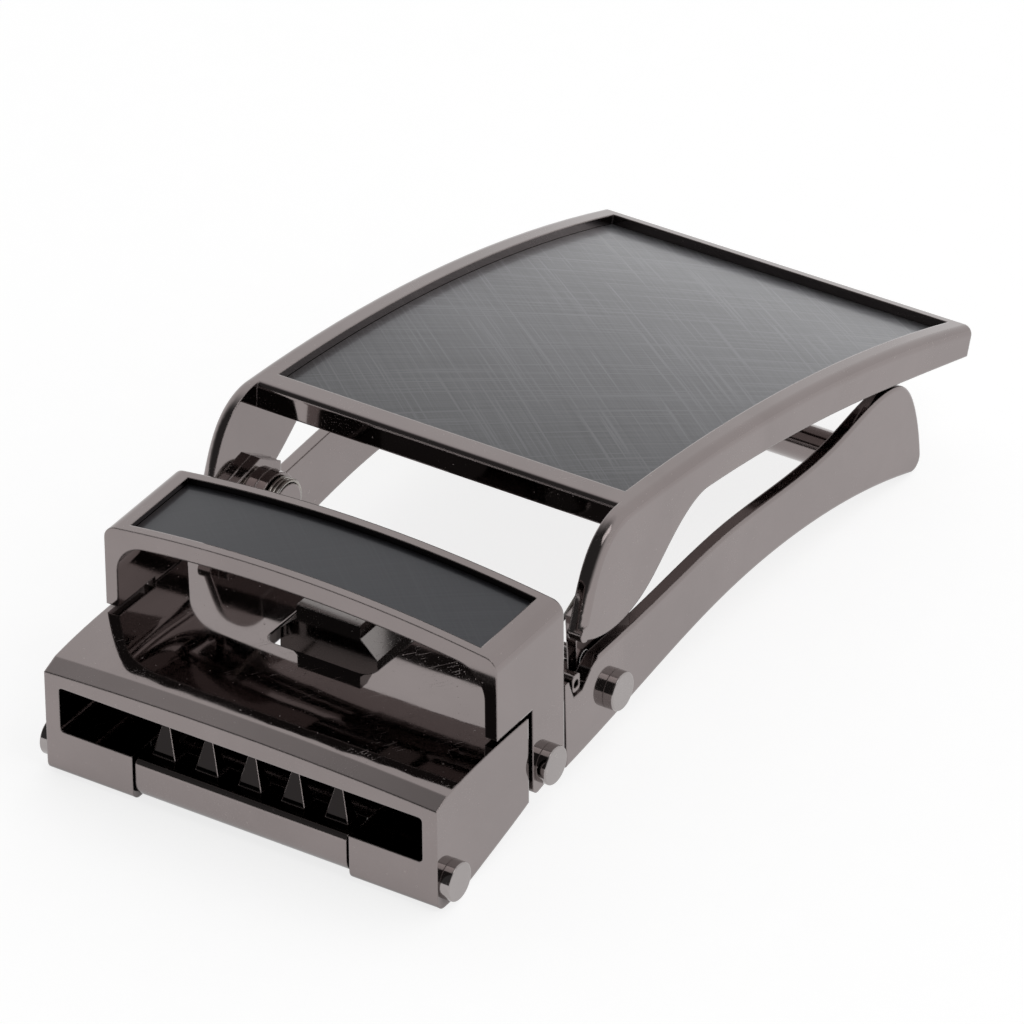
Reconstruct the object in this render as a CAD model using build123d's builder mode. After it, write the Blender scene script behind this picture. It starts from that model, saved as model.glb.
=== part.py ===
from build123d import *
from math import asin, cos, radians, sin, sqrt
import os

# Automatic ratchet buckle for a 35 mm belt. One end of the belt is held by the toothed
# clamp at the front. The other end runs under the face frame, over the ratchet pawl and
# out through the keeper loop. Millimetres. +X runs from the clamp to the far end of the
# face, +Y across the belt and +Z away from the wearer. The origin is the centre of the
# footprint on the plane that the buckle rests on.

# Driving dimensions
overall_length = 90.4
half_width = 20.0

jaw_axis = (2.0, 2.4)          # distance from the front, height
rivet_axis = (17.3, 5.3)
main_axis = (28.2, 6.6)
bar_axis = (25.95, 10.5)
post_axis = (30.7, 11.6)
far_bar_axis = (72.2, 5.3)
lug_hole = (22.35, 10.45)

pin_radius = 1.0
running_gap = 0.05
head_radius = 1.8
head_height = 1.0
head_edge = 0.15

mouth_half_width = 18.55
mouth_bottom = 4.7
mouth_top = 9.25
pocket_depth = 10.9
jaw_opening_half = 11.1
jaw_half_width = 10.8
tooth_pitch = 4.42
tooth_count = 5
tooth_base = 2.4
tooth_depth = 1.5
tooth_tip = 0.16
tooth_root = 4.4
tooth_height = 8.8
tooth_place = 2.3

block_rear = 14.5              # the clamp's wide front block ends here
plate_rear = 20.2              # its narrower rear plate ends here
plate_under = 10.4
block_half_width = 18.7
chamber_front = 12.0
window_front = 12.1
window_half_width = 5.5
window_corner = 1.3
ear_inner = 15.7
ear_outer = 17.2
ear_radius = 2.5
lug_outer = 19.9

keeper_front = 9.6
keeper_rear = 20.2
keeper_skirt = 12.0
keeper_inner = 18.75
keeper_shoulder = 20.3
keeper_crown = 21.5
keeper_roof = 1.7
keeper_recess_front = 10.5
keeper_recess_rear = 19.3
keeper_lip = 0.6
keeper_inlay_thickness = 0.5

arm_inner = 18.7
arm_edge = 0.3

face_half_width = 19.9
face_front = 31.3
arch_radius = 206.0
arch_apex = 16.3
arch_top = 23.9
face_slab = 2.5
face_end_depth = 2.8
rim_round = 0.9
bar_round = 0.5
leg_inner = 18.5
face_ear_inner = 17.5
boss_inner = 16.5
post_inner = 15.3
post_radius = 2.3

inlay_half_width = 17.85
inlay_gap = 0.05
glue_thickness = 0.1
face_recess_front = 33.6
face_recess_rear = 89.35
face_lip = 0.9
face_inlay_thickness = 0.7

pawl_half_width = 5.0
pawl_tip_half_width = 3.25
pawl_top = 15.2
bar_radius = 0.8
spacer_radius = 1.6

wire_bend = 0.5

# Sketch planes. A point on "side" is (distance from the front, height), and its offsets
# run towards -Y. A point on "front" is (y, height), and its offsets run towards +X.
front_x = -overall_length / 2
side = Plane(origin=(front_x, 0, 0), x_dir=(1, 0, 0), z_dir=(0, -1, 0))
front = Plane(origin=(front_x, 0, 0), x_dir=(0, 1, 0), z_dir=(1, 0, 0))


def arch_point(x, depth=0.0):
    """Point under the face arch, measured square to it from the surface at x."""
    lean = asin((x - arch_apex) / arch_radius)
    reach = arch_radius - depth
    return (arch_apex + reach * sin(lean), arch_top - arch_radius + reach * cos(lean))


def arch_band(x_start, x_end, top, bottom):
    """Closed outline between two depths below the face arch."""
    places = (x_start, (x_start + x_end) / 2, x_end)
    over = [arch_point(x, top) for x in places]
    under = [arch_point(x, bottom) for x in reversed(places)]
    ThreePointArc(*over)
    Line(over[2], under[0])
    ThreePointArc(*under)
    Line(under[2], over[0])


def keeper_height(y, depth=0.0):
    """Height of the keeper's crowned roof at y, depth below its top."""
    drop = keeper_crown - keeper_shoulder
    radius = (inlay_half_width**2 + drop**2) / (2 * drop)
    return keeper_crown - radius + sqrt((radius - depth) ** 2 - y**2)


def keeper_band(half, top, bottom):
    """Closed outline across the keeper's roof between two depths below its top."""
    over = [(y, keeper_height(y, top)) for y in (-half, 0, half)]
    under = [(y, keeper_height(y, bottom)) for y in (half, 0, -half)]
    ThreePointArc(*over)
    Line(over[2], under[0])
    ThreePointArc(*under)
    Line(under[2], over[0])


def headed_pin(axis, y_start, radius):
    """Shaft from y_start out to the -Y side with a rounded head on its end."""
    with BuildSketch(side.offset(y_start)) as shaft:
        with Locations(axis):
            Circle(radius)
    extrude(shaft.sketch, amount=half_width - y_start)
    with BuildSketch(side.offset(half_width)) as head:
        with Locations(axis):
            Circle(head_radius)
    extrude(head.sketch, amount=head_height)
    fillet(edges().group_by(Axis.Y)[0], radius=head_edge)


def round_bar(axis, radius, y_start, y_end, mode=Mode.ADD):
    """Cylinder along Y between two distances from the middle, on the -Y side."""
    with BuildSketch(side.offset(y_start)) as circle:
        with Locations(axis):
            Circle(radius)
    extrude(circle.sketch, amount=y_end - y_start, mode=mode)


def bore(axis, radius, half_span):
    """Round hole along Y through everything within half_span of the middle."""
    round_bar(axis, radius, -half_span, half_span, mode=Mode.SUBTRACT)


def coil(axis, y_start, radius, angle, turns, advance):
    """Points along a coil about an axis in Y, as global coordinates."""
    steps = round(12 * abs(turns))
    points = []
    for i in range(steps + 1):
        turned = radians(angle + 360 * turns * i / steps)
        x = front_x + axis[0] + radius * cos(turned)
        z = axis[1] + radius * sin(turned)
        points.append((x, y_start + advance * i / steps, z))
    return points


def spring(first_tail, turns, last_tail, wire_radius):
    """Round wire along a bent tail, a coil and another bent tail."""
    entry = Vector(*turns[0]) - Vector(*first_tail[-1])
    leave = Vector(*last_tail[0]) - Vector(*turns[-1])
    with BuildLine() as wire:
        FilletPolyline(*first_tail, turns[0], radius=wire_bend)
        Spline(*turns, tangents=[entry.normalized(), leave.normalized()], tangent_scalars=[1, 1])
        FilletPolyline(turns[-1], *last_tail, radius=wire_bend)
    with BuildSketch(Plane(origin=wire.line @ 0, z_dir=wire.line % 0)) as section:
        Circle(wire_radius)
    sweep(section.sketch, path=wire.line)


# Clamp body: one casting with the belt pocket in front, the smooth plate that the loose
# belt end slides over, and two ears on the main axle
with BuildPart() as clamp_body:
    with BuildSketch(side):
        with BuildLine():
            Line((0, 10.0), (0, 1.1))
            RadiusArc((0, 1.1), (1.1, 0), -1.1)
            Line((1.1, 0), (2.6, 0))
            Spline((2.6, 0), (7.4, 0.9), (block_rear, 2.8), tangents=[(1, 0.05), (1, 0.32)])
            Polyline((block_rear, 2.8), (plate_rear, 3.9), (plate_rear, 10.0), (0, 10.0))
        make_face()
    extrude(amount=half_width, both=True)
    # The crowned top is lofted through sections: distance, side height, middle height.
    # A sloping band along the front edge comes first, then the nearly flat top.
    band_rear = (1.7, 11.05, 11.6)
    front_band = [(0, 10.4, 11.0), band_rear]
    flat_top = [band_rear, (8.5, 11.5, 12.0), (block_rear, 11.45, 11.9), (plate_rear, 11.3, 11.7)]
    for sections in (front_band, flat_top):
        for x, z_side, z_mid in sections:
            with BuildSketch(front.offset(x)):
                with BuildLine():
                    ThreePointArc((-half_width, z_side), (0, z_mid), (half_width, z_side))
                    Line((half_width, z_side), (half_width, 9.8))
                    Line((half_width, 9.8), (-half_width, 9.8))
                    Line((-half_width, 9.8), (-half_width, z_side))
                make_face()
        loft()
    # Side steps that take the keeper's legs flush
    for plane in (side.offset(block_half_width), side.offset(-block_half_width - 2)):
        with BuildSketch(plane):
            with Locations(((block_rear + plate_rear) / 2 + 1, 8)):
                Rectangle(plate_rear - block_rear + 2, 20)
        extrude(amount=2, mode=Mode.SUBTRACT)
    # Belt pocket
    with BuildSketch(front):
        with Locations((0, (mouth_bottom + mouth_top) / 2)):
            RectangleRounded(2 * mouth_half_width, mouth_top - mouth_bottom, 0.4)
    extrude(amount=pocket_depth, mode=Mode.SUBTRACT)
    # Opening in the floor for the jaw
    with BuildSketch(front):
        with Locations((0, mouth_bottom / 2)):
            Rectangle(2 * jaw_opening_half, mouth_bottom + 2)
    extrude(amount=pocket_depth, mode=Mode.SUBTRACT)
    # Room for the pawl behind the pocket, open underneath and behind
    with BuildSketch(front.offset(chamber_front)):
        with Locations((0, plate_under / 2 - 1)):
            Rectangle(2 * ear_inner, plate_under + 2)
    extrude(amount=plate_rear - chamber_front, mode=Mode.SUBTRACT)
    # Rib across the open underside, which the pawl spring stands on
    with BuildSketch(side):
        with BuildLine():
            Polyline((14.2, 2.75), (17.2, 3.3), (17.2, 4.0), (14.2, 3.55), close=True)
        make_face()
    extrude(amount=ear_inner, both=True)
    # Slot for the pawl, open at the back
    with BuildSketch(Plane.XY.offset(plate_under - 1)):
        with Locations((front_x + window_front + 6, 0)):
            Rectangle(12, 2 * window_half_width)
        fillet(vertices().group_by(Axis.X)[0], radius=window_corner)
    extrude(amount=4, mode=Mode.SUBTRACT)
    for direction in (-1, 1):
        inner = side.offset(direction * ear_inner)
        # Ear on the main axle
        with BuildSketch(inner):
            with BuildLine():
                ear_under = [(18, 3.6), (24.5, 4.1), (27.9, 4.1)]
                Polyline(*ear_under, (27.9, 9.1), (24.5, 8.3), (18, 8.3), close=True)
            make_face()
            with Locations(main_axis):
                Circle(ear_radius)
        extrude(amount=direction * (ear_outer - ear_inner))
        # Lug that fills the notch in the arm and holds the closing spring's tail
        with BuildSketch(inner):
            with Locations((21.35, 10.1)):
                Rectangle(3.2, 1.6)
        extrude(amount=direction * (block_half_width - 0.05 - ear_inner))
        with BuildSketch(inner):
            with Locations((lug_hole[0], lug_hole[1] + 0.1)):
                RectangleRounded(1.2, 1.7, 0.4)
        extrude(amount=direction * (lug_outer - ear_inner))
    bore(lug_hole, 0.4, half_width)
    bore(jaw_axis, pin_radius, half_width)
    bore(rivet_axis, 0.9, half_width)
    bore(main_axis, pin_radius, half_width)
clamp_body.part.label = "clamp_body"

# Clamp jaw: lever with a rounded knuckle, a flap that closes the floor and a row of teeth
with BuildPart() as clamp_jaw:
    with BuildSketch(side):
        with BuildLine():
            Line((3.4, 4.5), (0.7, 4.5))
            RadiusArc((0.7, 4.5), (0.05, 3.85), -0.65)
            Line((0.05, 3.85), (0.05, 2.1))
            RadiusArc((0.05, 2.1), (2.0, 0.15), -1.95)
            Polyline((2.0, 0.15), (4.4, 0.45), (10.6, 1.7), (10.6, 2.9), (5.4, 1.9))
            ThreePointArc((5.4, 1.9), (4.1, 2.5), (3.4, 4.5))
        make_face()
    extrude(amount=jaw_half_width, both=True)
    for i in range(tooth_count):
        y = (i - (tooth_count - 1) / 2) * tooth_pitch
        with BuildSketch(Plane.XY.offset(tooth_root)):
            with Locations((front_x + tooth_place, y)):
                Rectangle(tooth_depth, tooth_base)
        with BuildSketch(Plane.XY.offset(tooth_height)):
            with Locations((front_x + tooth_place, y)):
                Rectangle(tooth_tip, tooth_tip)
        loft()
    bore(jaw_axis, pin_radius + running_gap, half_width)
clamp_jaw.part.label = "clamp_jaw"

# Jaw pin: through both floor cheeks and the jaw's knuckle, headed at both ends
with BuildPart() as jaw_pin:
    headed_pin(jaw_axis, 0, pin_radius)
    mirror(about=Plane.XZ)
jaw_pin.part.label = "jaw_pin"

# Keeper loop: crowned bridge over the loose belt end with a leg down each side
with BuildPart() as keeper_loop:
    with BuildSketch(front.offset(keeper_front)):
        with BuildLine():
            corner = (half_width, keeper_height(half_width))
            ThreePointArc((-corner[0], corner[1]), (0, keeper_crown), corner)
            Line(corner, (half_width, keeper_skirt))
            Line((half_width, keeper_skirt), (-half_width, keeper_skirt))
            Line((-half_width, keeper_skirt), (-corner[0], corner[1]))
        make_face()
        fillet(vertices().group_by(Axis.Y)[-1], radius=1.3)
    extrude(amount=keeper_rear - keeper_front)
    with BuildSketch(front.offset(keeper_front)):
        with BuildLine():
            corner = (keeper_inner, keeper_height(keeper_inner, keeper_roof))
            middle = (0, keeper_crown - keeper_roof)
            ThreePointArc((-corner[0], corner[1]), middle, corner)
            Line(corner, (keeper_inner, 10))
            Line((keeper_inner, 10), (-keeper_inner, 10))
            Line((-keeper_inner, 10), (-corner[0], corner[1]))
        make_face()
        fillet(vertices().group_by(Axis.Y)[-1], radius=3.2)
    extrude(amount=keeper_rear - keeper_front, mode=Mode.SUBTRACT)
    # Recess for the inlay
    recess_depth = keeper_lip + keeper_inlay_thickness + glue_thickness
    with BuildSketch(front.offset(keeper_recess_front)):
        with BuildLine():
            keeper_band(inlay_half_width, -1, recess_depth)
        make_face()
    extrude(amount=keeper_recess_rear - keeper_recess_front, mode=Mode.SUBTRACT)
    # Legs that reach down past the clamp body's side steps
    for direction in (-1, 1):
        with BuildSketch(side.offset(direction * keeper_inner)):
            with BuildLine():
                Polyline((15.2, 12.5), (15.2, 2.9), (20.2, 3.9), (20.2, 12.5), close=True)
            make_face()
            fillet(vertices().group_by(Axis.Y)[0] + vertices().group_by(Axis.Y)[1], radius=0.7)
        extrude(amount=direction * (half_width - keeper_inner))
    bore(rivet_axis, 0.9, half_width)
keeper_loop.part.label = "keeper_loop"

# Keeper inlay and the adhesive under it
with BuildPart() as keeper_inlay:
    with BuildSketch(front.offset(keeper_recess_front + inlay_gap)):
        with BuildLine():
            keeper_band(inlay_half_width - inlay_gap, keeper_lip, keeper_lip + keeper_inlay_thickness)
        make_face()
    extrude(amount=keeper_recess_rear - keeper_recess_front - 2 * inlay_gap)
keeper_inlay.part.label = "keeper_inlay"

with BuildPart() as keeper_inlay_adhesive:
    with BuildSketch(front.offset(keeper_recess_front + inlay_gap)):
        with BuildLine():
            keeper_band(inlay_half_width - inlay_gap, keeper_lip + keeper_inlay_thickness, recess_depth)
        make_face()
    extrude(amount=keeper_recess_rear - keeper_recess_front - 2 * inlay_gap)
keeper_inlay_adhesive.part.label = "keeper_inlay_adhesive"

# Keeper rivets: one through each leg into the clamp body
with BuildPart() as keeper_rivets:
    headed_pin(rivet_axis, ear_inner, 0.9)
    mirror(about=Plane.XZ)
keeper_rivets.part.label = "keeper_rivets"

# Base frame: two side arms joined by the far bar, one casting
with BuildPart() as base_frame:
    for direction in (-1, 1):
        with BuildSketch(side.offset(direction * arm_inner)):
            with BuildLine():
                notch = [(26.0, 11.3), (24.6, 10.7), (23.1, 9.35), (21.8, 9.35), (21.0, 11.4)]
                Polyline(*notch, (20.4, 11.4), (20.6, 2.7))
                Spline((20.6, 2.7), (32.5, 4.1), (45.9, 5.55), (59.6, 5.05), (73.8, 2.2), (79.5, 0.35))
                RadiusArc((79.5, 0.35), (81.1, 1.7), -1.3)
                rear_end = [(81.1, 1.7), (80.2, 6.7), (78.0, 10.4), (73.6, 11.5)]
                Spline(*rear_end, (66.8, 10.8), (48.0, 11.8), (36.0, 11.45), (26.0, 11.3))
            make_face()
        extrude(amount=direction * (half_width - arm_inner))
    arm_edges = edges().filter_by(lambda edge: abs(abs(edge.center().Y) - half_width) < 0.01)
    fillet(arm_edges.filter_by(lambda edge: edge.length > 20), radius=arm_edge)
    with BuildSketch(side):
        with Locations(Location(far_bar_axis, -38)):
            Ellipse(2.8, 1.8)
    extrude(amount=arm_inner, both=True)
    bore(main_axis, pin_radius, half_width)
base_frame.part.label = "base_frame"

# Main axle: through arms, face ears, clamp ears, spacers, spring and pawl
with BuildPart() as main_axle:
    headed_pin(main_axis, 0, pin_radius)
    mirror(about=Plane.XZ)
main_axle.part.label = "main_axle"

# Face frame: arched slab with a raised rim, deep sides, two legs and two hinge ears
with BuildPart() as face_frame:
    leg_top = arch_point(31.3)
    far_top = arch_point(overall_length)
    far_bottom = arch_point(overall_length, face_end_depth)
    for direction in (-1, 1):
        with BuildSketch(side.offset(direction * leg_inner)):
            with BuildLine():
                ThreePointArc(leg_top, arch_point(60), far_top)
                Line(far_top, far_bottom)
                Spline(far_bottom, (79.0, 10.65), (66.6, 14.1), (53.0, 17.1), (44.0, 18.55))
                leg_rear = [(44.0, 18.55), (41.0, 18.1), (37.5, 16.2), (32.5, 13.3)]
                Spline(*leg_rear, tangents=[(-1, 0.12), (-1, -0.3)], tangent_scalars=[1, 1])
                leg_tip = [(32.5, 13.3), (30.1, 12.8), (26.8, 13.0), (24.2, 13.9)]
                Spline(*leg_tip, tangents=[(-1, -0.3), (-1, 0.5)], tangent_scalars=[1, 1])
                RadiusArc((24.2, 13.9), (23.3, 15.0), 0.75)
                leg_front = [(23.3, 15.0), (25.3, 19.8), (27.2, 22.1), leg_top]
                Spline(*leg_front, tangents=[(0.4, 1), (1, -0.07)], tangent_scalars=[1, 1])
            make_face()
        extrude(amount=direction * (face_half_width - leg_inner))
    # The outer edges are rounded along the top and down the front of the legs
    outer = edges().filter_by(lambda edge: abs(abs(edge.center().Y) - face_half_width) < 0.01)
    top_edges = outer.group_by(SortBy.LENGTH)[-1]
    fillet(top_edges, radius=rim_round)
    with BuildSketch(side):
        with BuildLine():
            arch_band(face_front, overall_length, 0, face_slab)
        make_face()
        front_corners = vertices().sort_by(Axis.X)[0:2]
        fillet(front_corners.sort_by(Axis.Y)[-1], radius=bar_round)
    extrude(amount=leg_inner + 0.5, both=True)
    for direction in (-1, 1):
        # Ear on the main axle, inboard of the leg
        with BuildSketch(side.offset(direction * face_ear_inner)):
            with BuildLine():
                ear_rear = [(31.4, 6.6), (33.2, 10.5), (33.2, 14.5), (30.0, 16.5)]
                Polyline((24.4, 15.5), (24.9, 7.2), *ear_rear, close=True)
            make_face()
            with Locations(main_axis):
                Circle(3.3)
        extrude(amount=direction * (leg_inner - face_ear_inner))
        with BuildSketch(side.offset(direction * face_ear_inner)):
            with Locations(post_axis):
                Circle(3.0)
        extrude(amount=-direction * (face_ear_inner - boss_inner))
        with BuildSketch(side.offset(direction * boss_inner)):
            with Locations(post_axis):
                Circle(post_radius)
        extrude(amount=-direction * (boss_inner - post_inner))
    # Recess for the inlay
    with BuildSketch(side):
        with BuildLine():
            face_recess_depth = face_lip + face_inlay_thickness + glue_thickness
            arch_band(face_recess_front, face_recess_rear, -1, face_recess_depth)
        make_face()
    extrude(amount=inlay_half_width, both=True, mode=Mode.SUBTRACT)
    bore(main_axis, pin_radius + running_gap, half_width)
    bore(bar_axis, bar_radius, half_width)
face_frame.part.label = "face_frame"

# Face inlay and the adhesive under it
with BuildPart() as face_inlay:
    with BuildSketch(side):
        with BuildLine():
            arch_band(
                face_recess_front + inlay_gap,
                face_recess_rear - inlay_gap,
                face_lip,
                face_lip + face_inlay_thickness,
            )
        make_face()
    extrude(amount=inlay_half_width - inlay_gap, both=True)
face_inlay.part.label = "face_inlay"

with BuildPart() as face_inlay_adhesive:
    with BuildSketch(side):
        with BuildLine():
            arch_band(
                face_recess_front + inlay_gap,
                face_recess_rear - inlay_gap,
                face_lip + face_inlay_thickness,
                face_recess_depth,
            )
        make_face()
    extrude(amount=inlay_half_width - inlay_gap, both=True)
face_inlay_adhesive.part.label = "face_inlay_adhesive"

# Release bar: pressed through the face ears, pushes the pawl down when the face is lifted
with BuildPart() as release_bar:
    round_bar(bar_axis, bar_radius, -leg_inner, leg_inner)
release_bar.part.label = "release_bar"

# Ratchet pawl: lever on the main axle with a tapered upright tip in front
with BuildPart() as ratchet_pawl:
    with BuildSketch(side):
        with BuildLine():
            Polyline(
                (14.1, 9.0),
                (14.1, pawl_top),
                (15.3, pawl_top),
                (22.0, 10.7),
                (24.9, 10.7),
                (25.1, 9.65),
                (27.0, 9.0),
                (28.2, 4.0),
                (18.0, 7.2),
                close=True,
            )
        make_face()
        with Locations(main_axis):
            Circle(2.6)
    extrude(amount=pawl_half_width, both=True)
    for direction in (-1, 1):
        with BuildSketch(front.offset(13)):
            with BuildLine():
                Polyline(
                    (direction * pawl_tip_half_width, 16),
                    (direction * pawl_tip_half_width, 13.9),
                    (direction * (pawl_half_width + 0.1), 12.1),
                    (direction * (pawl_half_width + 0.1), 16),
                    close=True,
                )
            make_face()
        extrude(amount=12, mode=Mode.SUBTRACT)
    bore(main_axis, pin_radius + running_gap, half_width)
ratchet_pawl.part.label = "ratchet_pawl"

# Pawl spring: coil beside the pawl, one tail on the body's rib and one under the pawl
with BuildPart() as pawl_spring:
    rib_tail = [(front_x + 15.6, 9.0, 4.3), (front_x + 15.6, 7.6, 4.3)]
    pawl_tail = [(front_x + 20.6, 5.4, 6.1), (front_x + 20.6, 2.6, 6.1)]
    spring(rib_tail, coil(main_axis, 7.6, 1.5, 270, 3.53, -2.2), pawl_tail, 0.215)
pawl_spring.part.label = "pawl_spring"

# Axle spacers: tubes that keep the pawl in the middle of the axle
with BuildPart() as axle_spacers:
    round_bar(main_axis, spacer_radius, -ear_inner + 0.1, -8.1)
    round_bar(main_axis, spacer_radius, pawl_half_width + 0.1, ear_inner - 0.1)
    bore(main_axis, pin_radius + running_gap, half_width)
axle_spacers.part.label = "axle_spacers"

# Closing springs: coil on each post, one tail to the body's lug and one under the leg
with BuildPart() as closing_springs:
    lug_x = front_x + lug_hole[0]
    ear_tail = [(front_x + 34.0, -18.3, 12.0), (front_x + 34.0, -16.3, 12.0)]
    lug_tail = [(lug_x, -15.5, lug_hole[1]), (lug_x, -19.3, lug_hole[1])]
    spring(ear_tail, coil(post_axis, -16.3, 2.52, 48, 2.19, 0.83), lug_tail, 0.18)
    mirror(about=Plane.XZ)
closing_springs.part.label = "closing_springs"

pieces = [
    clamp_body,
    clamp_jaw,
    jaw_pin,
    keeper_loop,
    keeper_inlay,
    keeper_inlay_adhesive,
    keeper_rivets,
    base_frame,
    main_axle,
    face_frame,
    face_inlay,
    face_inlay_adhesive,
    release_bar,
    ratchet_pawl,
    pawl_spring,
    axle_spacers,
    closing_springs,
]

os.makedirs("parts", exist_ok=True)
for piece in pieces:
    export_step(piece.part, f"parts/{piece.part.label}.step")
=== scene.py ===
from math import cos, radians, sin

import bpy
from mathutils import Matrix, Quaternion, Vector


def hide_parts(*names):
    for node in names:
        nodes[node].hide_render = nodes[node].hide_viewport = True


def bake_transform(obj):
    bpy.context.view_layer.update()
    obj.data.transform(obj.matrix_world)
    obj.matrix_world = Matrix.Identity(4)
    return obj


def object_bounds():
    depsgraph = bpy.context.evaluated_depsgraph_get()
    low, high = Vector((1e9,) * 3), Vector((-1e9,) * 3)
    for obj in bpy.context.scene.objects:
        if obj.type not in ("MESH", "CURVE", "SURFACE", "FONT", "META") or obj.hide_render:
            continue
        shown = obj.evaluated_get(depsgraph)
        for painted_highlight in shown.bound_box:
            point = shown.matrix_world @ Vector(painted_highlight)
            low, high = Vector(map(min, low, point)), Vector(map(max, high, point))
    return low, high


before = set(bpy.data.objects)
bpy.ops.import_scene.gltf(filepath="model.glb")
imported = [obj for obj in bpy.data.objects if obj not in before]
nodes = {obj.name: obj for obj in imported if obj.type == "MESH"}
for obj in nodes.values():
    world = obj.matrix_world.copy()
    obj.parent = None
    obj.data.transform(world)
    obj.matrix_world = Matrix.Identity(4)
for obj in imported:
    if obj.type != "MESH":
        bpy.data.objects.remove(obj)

cad_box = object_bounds()
MM = 0.001

# Metal and panel colours, linear
GUNMETAL = (0.245, 0.213, 0.209)
PIN_METAL = (0.32, 0.295, 0.29)
PAWL_METAL = (0.20, 0.185, 0.18)
FACE_DARK = (0.052, 0.052, 0.056)
FACE_LIGHT = (0.105, 0.105, 0.112)
KEEPER_DARK = (0.034, 0.035, 0.040)
KEEPER_LIGHT = (0.046, 0.047, 0.053)

# Places in the CAD, mm: distance behind the front end, distance across, height
TOOTH_FOOT = 4.3

# Studio
FLOOR_SIZE = 6
FLOOR_GAP = 0.02 * MM
FLOOR_GLOW = 0.80
SKY_BRIGHT = 0.95
SKY_DARK = 0.06
SKY_DARK_TOWARD = (-0.80, 0.05, 0.60)
SKY_FADE = (0.10, 0.75)

# Camera
AZIMUTH = radians(-57.44)
ELEVATION = radians(33.30)
ROLL = radians(-0.485)
DISTANCE = 0.812
AIM = (-1.695 * MM, 0.0, 9.352 * MM)
LENS = 323.6
SENSOR = 36


def rgba(color, factor=1.0):
    """Opaque colour, made lighter or darker by a factor."""
    return (*[channel * factor for channel in color], 1)


# ---------------------------------------------------------------- node helpers
class Graph:
    """A material's node tree with short calls for the nodes used here."""

    def __init__(self, name):
        self.material = bpy.data.materials.new(name)
        self.material.use_nodes = True
        self.tree = self.material.node_tree
        self.tree.nodes.clear()
        self.out = self.tree.nodes.new("ShaderNodeOutputMaterial")
        self.coords = self.tree.nodes.new("ShaderNodeTexCoord").outputs["Object"]

    def node(self, kind, settings=None, **inputs):
        made = self.tree.nodes.new(kind)
        for key, value in (settings or {}).items():
            setattr(made, key, value)
        for key, value in inputs.items():
            self.put(made, key.replace("_", " "), value)
        return made

    def put(self, made, key, value):
        socket = made.inputs[int(key[1:])] if key[0] == "#" else made.inputs[key]
        if isinstance(value, bpy.types.NodeSocket):
            self.tree.links.new(value, socket)
        else:
            socket.default_value = value

    def math(self, operation, a, b=0.0, clamp=False):
        made = self.node("ShaderNodeMath", {"operation": operation, "use_clamp": clamp})
        self.put(made, "#0", a)
        self.put(made, "#1", b)
        return made.outputs[0]

    def ramp(self, value, low, high, to_low=0.0, to_high=1.0):
        made = self.node("ShaderNodeMapRange", {"clamp": True})
        self.put(made, "Value", value)
        self.put(made, "From Min", low)
        self.put(made, "From Max", high)
        self.put(made, "To Min", to_low)
        self.put(made, "To Max", to_high)
        return made.outputs["Result"]

    def mapped(self, scale, turn=(0, 0, 0)):
        """Coordinates turned first and then scaled along the turned axes."""
        turned = self.node("ShaderNodeMapping", Vector=self.coords)
        self.put(turned, "Rotation", tuple(radians(t) for t in turn))
        made = self.node("ShaderNodeMapping", Vector=turned.outputs["Vector"])
        self.put(made, "Scale", scale)
        return made.outputs["Vector"]

    def noise(self, vector, scale, detail=3.0, roughness=0.5, distortion=0.0):
        made = self.node("ShaderNodeTexNoise")
        self.put(made, "Vector", vector)
        self.put(made, "Scale", scale)
        self.put(made, "Detail", detail)
        self.put(made, "Roughness", roughness)
        self.put(made, "Distortion", distortion)
        return made.outputs["Fac"]

    def mix_color(self, factor, a, b):
        made = self.node("ShaderNodeMix", {"data_type": "RGBA"})
        self.put(made, "#0", factor)
        self.put(made, "#6", a)
        self.put(made, "#7", b)
        return made.outputs[2]

    def bump(self, height, strength, distance, normal=None):
        made = self.node("ShaderNodeBump")
        self.put(made, "Height", height)
        self.put(made, "Strength", strength)
        self.put(made, "Distance", distance)
        if normal is not None:
            self.put(made, "Normal", normal)
        return made.outputs["Normal"]

    def openness(self, reach):
        """1 on open surfaces, falling to 0 in recesses deeper than reach."""
        made = self.node("ShaderNodeAmbientOcclusion", {"samples": 8}, Distance=reach)
        return made.outputs["AO"]

    def soft_edges(self, radius):
        made = self.node("ShaderNodeBevel", {"samples": 6})
        self.put(made, "Radius", radius)
        return made.outputs["Normal"]

    def finish(self, **inputs):
        shader = self.node("ShaderNodeBsdfPrincipled")
        for key, value in inputs.items():
            self.put(shader, key.replace("_", " "), value)
        self.tree.links.new(shader.outputs[0], self.out.inputs["Surface"])
        return self.material


def scratches(g, turn, length, spacing, share):
    """Sparse hairlines along one direction: 1 on a line, 0 elsewhere."""
    line = g.noise(g.mapped((1 / length, 1 / spacing, 1 / spacing), turn), 1.0, 1.0)
    patch = g.noise(g.coords, 160.0, 1.0)
    on_line = g.ramp(line, share, share + 0.02)
    return g.math("MULTIPLY", on_line, g.ramp(patch, 0.5, 0.62))


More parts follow.
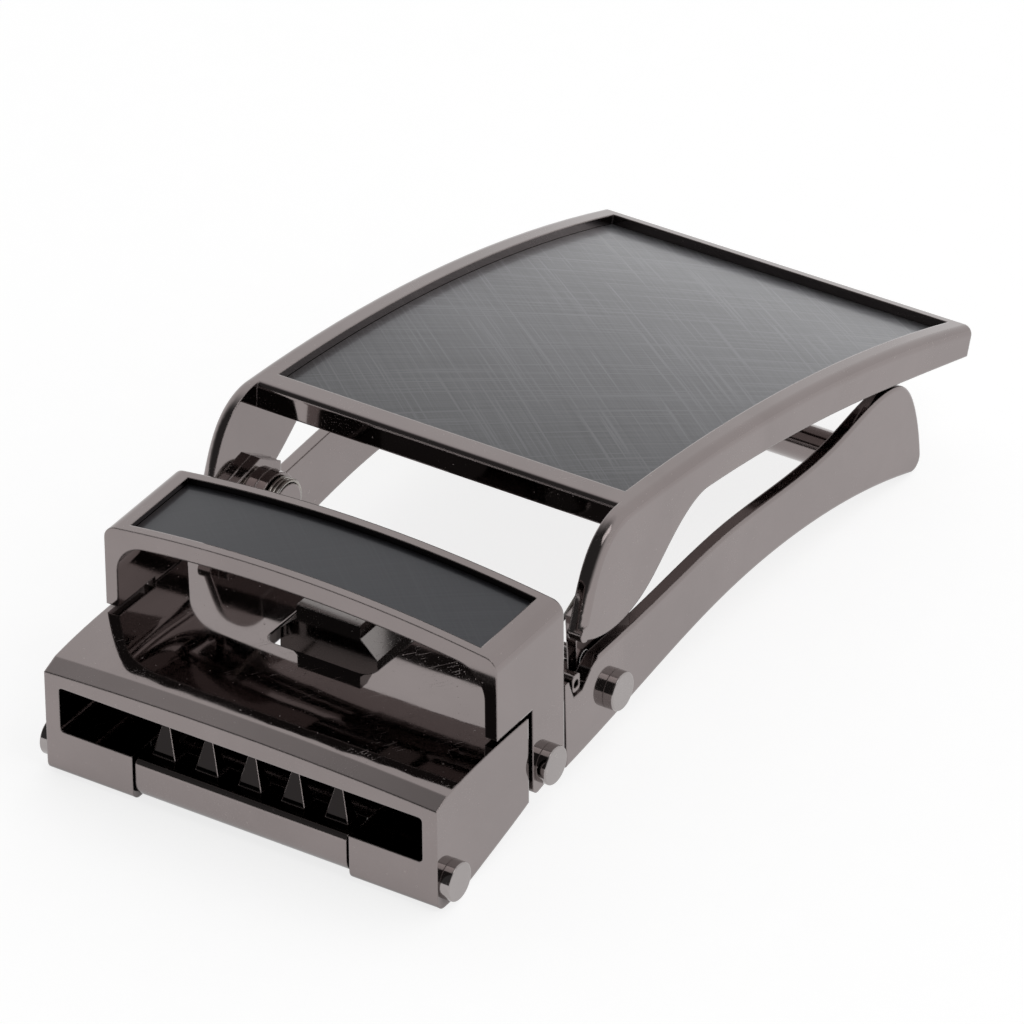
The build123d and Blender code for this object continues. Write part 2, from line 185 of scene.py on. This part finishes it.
def plated(name, base, roughness, edge_radius=0.22, recess_shade=1.0, painted_shade_above=None):
    """Polished black-nickel plating with tiny casting waves, hairlines, dust and finger marks.

    Recesses get painted shade that keeps the given share of colour at their bottom. Over the
    given height the metal is painted in that dark shade all over, with painted highlights on
    corners.
    """
    g = Graph(name)
    smudge = g.noise(g.coords, 90.0, 4.0, 0.6, 0.6)
    haze = g.noise(g.coords, 420.0, 3.0)
    dust = g.ramp(g.noise(g.coords, 2600.0, 1.0), 0.74, 0.78)
    hair = g.math(
        "MAXIMUM",
        scratches(g, (0, 0, 35), 4 * MM, 0.09 * MM, 0.70),
        scratches(g, (20, 0, -50), 6 * MM, 0.10 * MM, 0.71),
    )
    marks = g.math("MAXIMUM", dust, hair)
    rough = g.ramp(smudge, 0.40, 0.80, roughness, roughness + 0.06)
    rough = g.math("ADD", rough, g.ramp(haze, 0.45, 0.7, 0.0, 0.02))
    rough = g.math("ADD", rough, g.math("MULTIPLY", marks, 0.25), clamp=True)
    # Painted shade: the dark colour for recesses and for the shaded mouth
    painted_shade = rgba(base, recess_shade)
    # Light colour for dust and hairlines, also used for the painted highlights on corners
    marks_and_highlight = rgba(base, 1.5)
    color = g.mix_color(g.ramp(smudge, 0.3, 0.8), rgba(base), rgba(base, 1.12))
    color = g.mix_color(g.math("MULTIPLY", marks, 0.45), color, marks_and_highlight)
    # Painted shade: the colour darkens in recesses found by ambient occlusion
    color = g.mix_color(g.ramp(g.openness(5 * MM), 0.15, 0.55), painted_shade, color)
    # Painted shade over the given height, with painted highlights on corners where the bevelled
    # normal turns away
    if painted_shade_above is not None:
        height = g.node("ShaderNodeSeparateXYZ", Vector=g.coords).outputs["Z"]
        flatness = g.node("ShaderNodeVectorMath", {"operation": "DOT_PRODUCT"})
        g.put(flatness, "#0", g.soft_edges(0.12 * MM))
        g.put(flatness, "#1", g.node("ShaderNodeNewGeometry").outputs["Normal"])
        painted_highlight = g.ramp(flatness.outputs["Value"], 0.99, 0.93)
        shade_with_highlights = g.mix_color(painted_highlight, painted_shade, marks_and_highlight)
        above = g.ramp(height, painted_shade_above, painted_shade_above + 0.3 * MM)
        color = g.mix_color(above, color, shade_with_highlights)
    normal = g.soft_edges(edge_radius * MM)
    normal = g.bump(g.noise(g.coords, 240.0, 2.0), 0.04, 0.05 * MM, normal)
    normal = g.bump(hair, 0.08, 0.01 * MM, normal)
    return g.finish(Base_Color=color, Metallic=1.0, Roughness=rough, Normal=normal)


def brushed_panel(name, dark, light, line_strength, far_painted_light):
    """Satin charcoal panel with fine brushing in two diagonal directions under clear lacquer.

    Painted light: the panel's far end is painted lighter than its near end, by the given factor.
    """
    g = Graph(name)
    lines = []
    # Angle in degrees, length and spacing of the lines in mm
    for turn, length, spacing in ((49, 26, 0.10), (49, 16, 0.24), (-49, 28, 0.11), (-49, 16, 0.27)):
        vector = g.mapped((1 / (length * MM), 1 / (spacing * MM), 40.0), (0, 0, turn))
        lines.append(g.noise(vector, 1.0, 2.0, 0.55))
    fine = g.math("MULTIPLY", g.math("ADD", lines[0], lines[2]), 0.5)
    coarse = g.math("MULTIPLY", g.math("ADD", lines[1], lines[3]), 0.5)
    both = g.math("ADD", g.math("MULTIPLY", fine, 0.45), g.math("MULTIPLY", coarse, 0.55))
    bright = g.math("MAXIMUM", g.ramp(lines[1], 0.60, 0.70), g.ramp(lines[3], 0.60, 0.70))
    cloud = g.noise(g.coords, 45.0, 2.0)
    along = g.node("ShaderNodeSeparateXYZ", Vector=g.coords).outputs["X"]
    shade = g.math("ADD", g.ramp(both, 0.36, 0.64), g.math("MULTIPLY", bright, line_strength))
    shade = g.math("ADD", shade, g.ramp(cloud, 0.3, 0.7, -0.12, 0.12))
    near = g.mix_color(shade, rgba(dark), rgba(light))
    # Painted light: the far end's colours are lightened by the given factor
    far = g.mix_color(shade, rgba(dark, far_painted_light), rgba(light, far_painted_light))
    return g.finish(
        Base_Color=g.mix_color(g.ramp(along, -10 * MM, 45 * MM), near, far),
        Metallic=0.85,
        Roughness=g.ramp(both, 0.3, 0.7, 0.30, 0.42),
        Normal=g.bump(both, 0.25, 0.02 * MM),
        Coat_Weight=0.35,
        Coat_Roughness=0.12,
    )


def drawn_wire(name):
    """Drawn spring wire: fine streaks and a slight temper tint."""
    g = Graph(name)
    streak = g.noise(g.mapped((600, 4000, 4000)), 1.0, 2.0)
    tint = g.noise(g.coords, 500.0, 2.0)
    color = g.mix_color(g.ramp(tint, 0.3, 0.7), (0.30, 0.285, 0.275, 1), (0.40, 0.37, 0.33, 1))
    rough = g.ramp(streak, 0.3, 0.7, 0.18, 0.34)
    return g.finish(Base_Color=color, Metallic=1.0, Roughness=rough,
                    Normal=g.bump(streak, 0.15, 0.01 * MM))


def glue(name):
    """Milky adhesive film with small bubbles."""
    g = Graph(name)
    bubbles = g.noise(g.coords, 1500.0, 2.0)
    color = g.mix_color(g.ramp(bubbles, 0.4, 0.7), (0.62, 0.60, 0.54, 1), (0.78, 0.76, 0.70, 1))
    return g.finish(Base_Color=color, Roughness=g.ramp(bubbles, 0.3, 0.7, 0.4, 0.6),
                    Normal=g.bump(bubbles, 0.2, 0.02 * MM))


body_metal = plated("body_metal", GUNMETAL, 0.035, recess_shade=0.3)
# The jaw's teeth are painted in shade over their foot, with painted highlights on their corners
jaw_metal = plated("jaw_metal", GUNMETAL, 0.05, recess_shade=0.1, painted_shade_above=TOOTH_FOOT * MM)
pin_metal = plated("pin_metal", PIN_METAL, 0.07, edge_radius=0.12)
steel = plated("pawl_metal", PAWL_METAL, 0.08, edge_radius=0.12)
face_panel = brushed_panel("face_panel", FACE_DARK, FACE_LIGHT, 0.8, 2.3)
keeper_panel = brushed_panel("keeper_panel", KEEPER_DARK, KEEPER_LIGHT, 0.25, 1.0)
wire_metal = drawn_wire("wire_metal")
adhesive = glue("adhesive")

finishes = {
    "clamp_body": body_metal,
    "clamp_jaw": jaw_metal,
    "keeper_loop": body_metal,
    "base_frame": body_metal,
    "face_frame": body_metal,
    "jaw_pin": pin_metal,
    "keeper_rivets": pin_metal,
    "main_axle": pin_metal,
    "release_bar": pin_metal,
    "axle_spacers": pin_metal,
    "ratchet_pawl": steel,
    "face_inlay": face_panel,
    "keeper_inlay": keeper_panel,
    "face_inlay_adhesive": adhesive,
    "keeper_inlay_adhesive": adhesive,
    "pawl_spring": wire_metal,
    "closing_springs": wire_metal,
}
for name, material in finishes.items():
    mesh = nodes[name].data
    mesh.materials.clear()
    mesh.materials.append(material)


# ---------------------------------------------------------------- spring copies
def winding_copy(name):
    """Copy of a spring that replaces the hidden original, with its placement baked into the mesh.
    """
    copy = bpy.data.objects.new(name + "_wound", nodes[name].data.copy())
    bpy.context.scene.collection.objects.link(copy)
    copy.matrix_world = nodes[name].matrix_world.copy()
    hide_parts(name)
    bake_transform(copy)


# A closing spring runs between the body's lug and the coil in the face's leg
winding_copy("closing_springs")
# The pawl spring is coiled about the main axle
winding_copy("pawl_spring")

# ---------------------------------------------------------------- floor
bpy.ops.mesh.primitive_plane_add(size=FLOOR_SIZE, location=(0, 0, cad_box[0][2] - FLOOR_GAP))
floor = bpy.context.object
floor.name = "floor"
g = Graph("floor_paint")
grain = g.noise(g.coords, 300.0, 3.0)
floor.data.materials.append(
    g.finish(
        Base_Color=g.mix_color(grain, rgba((0.34, 0.34, 0.34)), rgba((0.36, 0.36, 0.36))),
        Roughness=0.7,
        Specular_IOR_Level=0.0,
        Emission_Color=rgba((1, 1, 1)),
        Emission_Strength=FLOOR_GLOW,
    )
)

# ---------------------------------------------------------------- light
# Bright sky that fades to dark in front of and above the buckle
world = bpy.data.worlds.new("studio")
bpy.context.scene.world = world
world.use_nodes = True
tree = world.node_tree
tree.nodes.clear()
coords = tree.nodes.new("ShaderNodeTexCoord")
facing = tree.nodes.new("ShaderNodeVectorMath")
facing.operation = "DOT_PRODUCT"
facing.inputs[1].default_value = Vector(SKY_DARK_TOWARD).normalized()
tree.links.new(coords.outputs["Generated"], facing.inputs[0])
fall = tree.nodes.new("ShaderNodeMapRange")
fall.interpolation_type = "SMOOTHSTEP"
fall.inputs["From Min"].default_value = SKY_FADE[0]
fall.inputs["From Max"].default_value = SKY_FADE[1]
fall.inputs["To Min"].default_value = SKY_BRIGHT
fall.inputs["To Max"].default_value = SKY_DARK
tree.links.new(facing.outputs["Value"], fall.inputs["Value"])
background = tree.nodes.new("ShaderNodeBackground")
background.inputs["Color"].default_value = (1, 1, 1, 1)
tree.links.new(fall.outputs["Result"], background.inputs["Strength"])
out = tree.nodes.new("ShaderNodeOutputWorld")
tree.links.new(background.outputs[0], out.inputs["Surface"])

# Square softbox aimed at the buckle
light = bpy.data.lights.new("top_softbox", "AREA")
light.shape = "SQUARE"
light.size = 0.5
light.energy = 1.2
lamp = bpy.data.objects.new("top_softbox", light)
bpy.context.scene.collection.objects.link(lamp)
lamp.location = (-0.1, -0.5, 0.9)
lamp.rotation_euler = (-lamp.location).to_track_quat("-Z", "Y").to_euler()

# ---------------------------------------------------------------- camera
back = Vector((sin(AZIMUTH) * cos(ELEVATION), -cos(AZIMUTH) * cos(ELEVATION), sin(ELEVATION)))
camera_data = bpy.data.cameras.new("camera")
camera_data.lens = LENS
camera_data.sensor_width = SENSOR
camera_data.clip_start = 0.01
camera = bpy.data.objects.new("camera", camera_data)
bpy.context.scene.collection.objects.link(camera)
camera.location = Vector(AIM) + back * DISTANCE
camera.rotation_euler = (back.to_track_quat("Z", "Y") @ Quaternion((0, 0, 1), ROLL)).to_euler()
bpy.context.scene.camera = camera
bpy.context.scene.view_settings.view_transform = "Standard"
